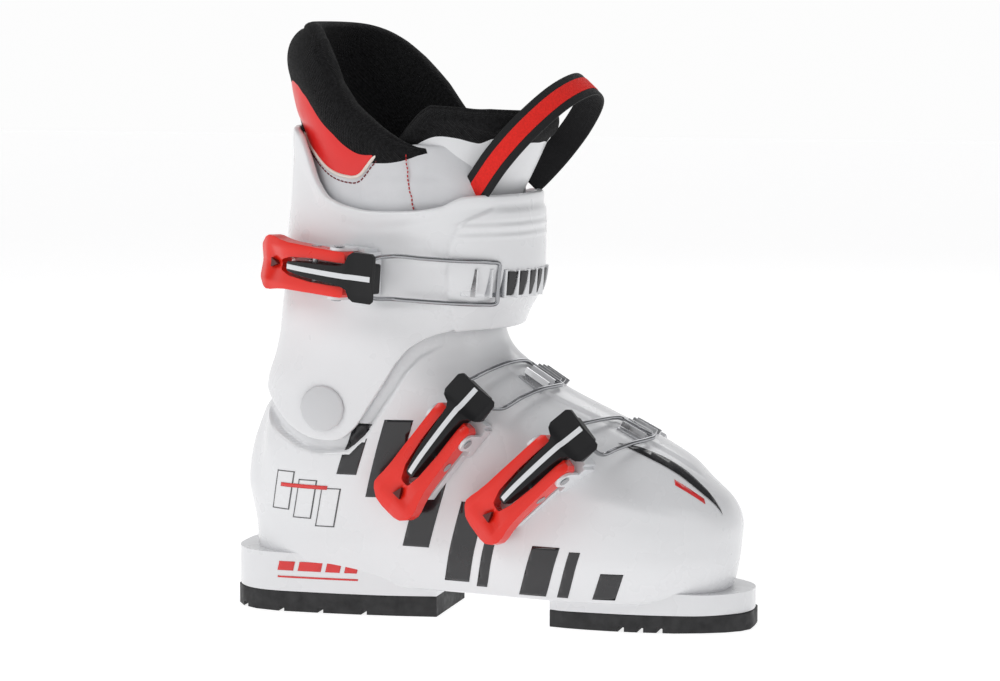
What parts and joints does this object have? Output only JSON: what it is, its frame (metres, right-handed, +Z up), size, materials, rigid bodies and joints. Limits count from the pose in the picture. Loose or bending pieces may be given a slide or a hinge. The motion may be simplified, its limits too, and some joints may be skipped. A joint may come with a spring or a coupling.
{
  "type": "alpine ski boot",
  "caption": "Right alpine ski boot for a child: hinged plastic shell and cuff, over-centre buckles with wire bails and ladders, rubber sole pads and a padded liner.",
  "frame": {"origin": "on the heel pad's resting face, on the sole's centreline under the middle of the heel", "axes": "+X towards the toe, +Y towards the medial side (the other foot), +Z up"},
  "size_m": [0.284, 0.134, 0.3128],
  "materials": {
    "shell_plastic": "glossy white injection-moulded shell plastic",
    "cap_plastic": "satin pale grey plastic cap",
    "sole_rubber": "matt black moulded rubber",
    "lever_paint": "bright red gloss paint",
    "carrier_plastic": "satin black plastic with a pale inlaid stripe",
    "steel": "bright steel",
    "chrome_wire": "chromed wire",
    "alloy": "satin aluminium",
    "fleece": "black knitted fleece over foam",
    "liner_fabric": "pale grey coated fabric over foam, with a red rear panel",
    "board_plastic": "plain grey plastic",
    "footbed_foam": "dark foam with a fabric face",
    "webbing": "black webbing with a red centre stripe"
  },
  "bodies": {
    "shell": {"lower_shell": "shell_plastic", "toe_sole_pad": "sole_rubber", "heel_sole_pad": "sole_rubber", "toe_sole_screw_1": "steel", "toe_sole_screw_2": "steel", "toe_sole_screw_3": "steel", "toe_sole_screw_4": "steel", "heel_sole_screw_1": "steel", "heel_sole_screw_2": "steel", "heel_sole_screw_3": "steel", "boot_board": "board_plastic", "liner_foot": "liner_fabric", "footbed": "footbed_foam", "ankle_rivet_lateral": "cap_plastic", "ankle_rivet_medial": "cap_plastic", "instep_base": "alloy", "instep_base_rivet_1": "steel", "instep_base_rivet_2": "steel", "instep_lever_pin_rear": "steel", "instep_lever_pin_front": "steel", "instep_ladder": "alloy", "toe_base": "alloy", "toe_base_rivet_1": "steel", "toe_base_rivet_2": "steel", "toe_lever_pin_rear": "steel", "toe_lever_pin_front": "steel", "toe_ladder": "alloy"},
    "cuff": {"cuff": "shell_plastic", "liner_shaft": "liner_fabric", "liner_collar": "fleece", "liner_tongue": "liner_fabric", "pull_loop": "webbing", "cuff_buckle_base": "alloy", "cuff_buckle_base_rivet_1": "steel", "cuff_buckle_base_rivet_2": "steel", "cuff_buckle_lever_pin_rear": "steel", "cuff_buckle_lever_pin_front": "steel", "cuff_buckle_ladder": "alloy"},
    "instep_lever": {"instep_lever": "lever_paint", "instep_carrier_pin": "steel"},
    "instep_carrier": {"instep_carrier": "carrier_plastic"},
    "instep_bail": {"instep_bail": "chrome_wire"},
    "toe_lever": {"toe_lever": "lever_paint", "toe_carrier_pin": "steel"},
    "toe_carrier": {"toe_carrier": "carrier_plastic"},
    "toe_bail": {"toe_bail": "chrome_wire"},
    "cuff_buckle_lever": {"cuff_buckle_lever": "lever_paint", "cuff_buckle_carrier_pin": "steel"},
    "cuff_buckle_carrier": {"cuff_buckle_carrier": "carrier_plastic"},
    "cuff_buckle_bail": {"cuff_buckle_bail": "chrome_wire"}
  },
  "joints": [
    {"name": "cuff_flex", "type": "hinge", "parent": "shell", "child": "cuff", "pos_m": [0.017, 0, 0.113], "axis": [0, 1, 0], "range_deg": [0, 5], "stiffness_Nm_per_rad": 100},
    {"name": "instep_lever_hinge", "type": "hinge", "parent": "shell", "child": "instep_lever", "pos_m": [0.08954, -0.05526, 0.10691], "axis": [-0.7678, 0.2239, 0.6002], "range_deg": [0, 95]},
    {"name": "instep_carrier_hinge", "type": "hinge", "parent": "instep_lever", "child": "instep_carrier", "pos_m": [0.07925, -0.05429, 0.09338], "axis": [-0.7678, 0.2239, 0.6002], "range_deg": [-124, 0]},
    {"name": "instep_bail_hinge", "type": "hinge", "parent": "instep_carrier", "child": "instep_bail", "pos_m": [0.10348, -0.05312, 0.12394], "axis": [-0.7678, 0.2239, 0.6002], "range_deg": [-34, 0]},
    {"name": "toe_lever_hinge", "type": "hinge", "parent": "shell", "child": "toe_lever", "pos_m": [0.14398, -0.05965, 0.09243], "axis": [-0.6517, 0.2399, 0.7196], "range_deg": [0, 95]},
    {"name": "toe_carrier_hinge", "type": "hinge", "parent": "toe_lever", "child": "toe_carrier", "pos_m": [0.13178, -0.05766, 0.08071], "axis": [-0.6517, 0.2399, 0.7196], "range_deg": [-124, 0]},
    {"name": "toe_bail_hinge", "type": "hinge", "parent": "toe_carrier", "child": "toe_bail", "pos_m": [0.16049, -0.05883, 0.10711], "axis": [-0.6517, 0.2399, 0.7196], "range_deg": [-34, 0]},
    {"name": "cuff_buckle_lever_hinge", "type": "hinge", "parent": "cuff", "child": "cuff_buckle_lever", "pos_m": [0.03206, -0.06467, 0.1862], "axis": [0.0754, -0.0025, 0.9971], "range_deg": [0, 95]},
    {"name": "cuff_buckle_carrier_hinge", "type": "hinge", "parent": "cuff_buckle_lever", "child": "cuff_buckle_carrier", "pos_m": [0.01697, -0.05686, 0.18736], "axis": [0.0754, -0.0025, 0.9971], "range_deg": [-124, 0]},
    {"name": "cuff_buckle_bail_hinge", "type": "hinge", "parent": "cuff_buckle_carrier", "child": "cuff_buckle_bail", "pos_m": [0.053, -0.07158, 0.18459], "axis": [0.0754, -0.0025, 0.9971], "range_deg": [-34, 0]}
  ],
  "couplings": [
    {"joint": "instep_carrier_hinge", "follows": "instep_lever_hinge", "ratio": -1.3},
    {"joint": "instep_bail_hinge", "follows": "instep_lever_hinge", "ratio": -0.35},
    {"joint": "toe_carrier_hinge", "follows": "toe_lever_hinge", "ratio": -1.3},
    {"joint": "toe_bail_hinge", "follows": "toe_lever_hinge", "ratio": -0.35},
    {"joint": "cuff_buckle_carrier_hinge", "follows": "cuff_buckle_lever_hinge", "ratio": -1.3},
    {"joint": "cuff_buckle_bail_hinge", "follows": "cuff_buckle_lever_hinge", "ratio": -0.35}
  ]
}
